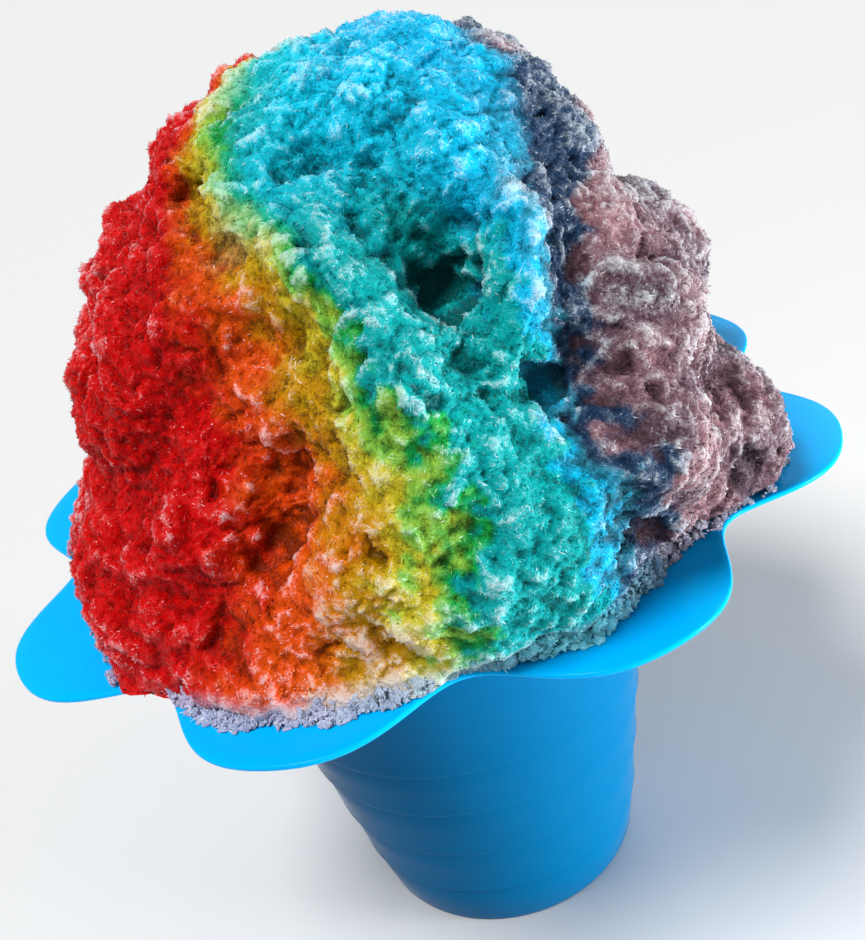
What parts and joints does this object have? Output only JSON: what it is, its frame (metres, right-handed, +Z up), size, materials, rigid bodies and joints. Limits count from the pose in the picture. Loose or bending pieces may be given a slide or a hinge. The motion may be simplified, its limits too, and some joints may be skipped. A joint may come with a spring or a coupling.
{
  "type": "shaved ice dessert",
  "caption": "Rainbow syruped shaved ice heaped high in a blue plastic cup with a flower-shaped brim",
  "frame": {"origin": "middle of the cup's foot, on the surface it stands on", "axes": "+Z up the cup, -Y the front of the heap as pictured, +X to the right seen from the front"},
  "size_m": [0.1464, 0.1464, 0.1733],
  "materials": {
    "cup_plastic": "gloss",
    "syruped_ice": "frosted, wet in the hollows"
  },
  "bodies": {
    "root": {"flower_cup": "cup_plastic", "shaved_ice": "syruped_ice"}
  },
  "joints": []
}
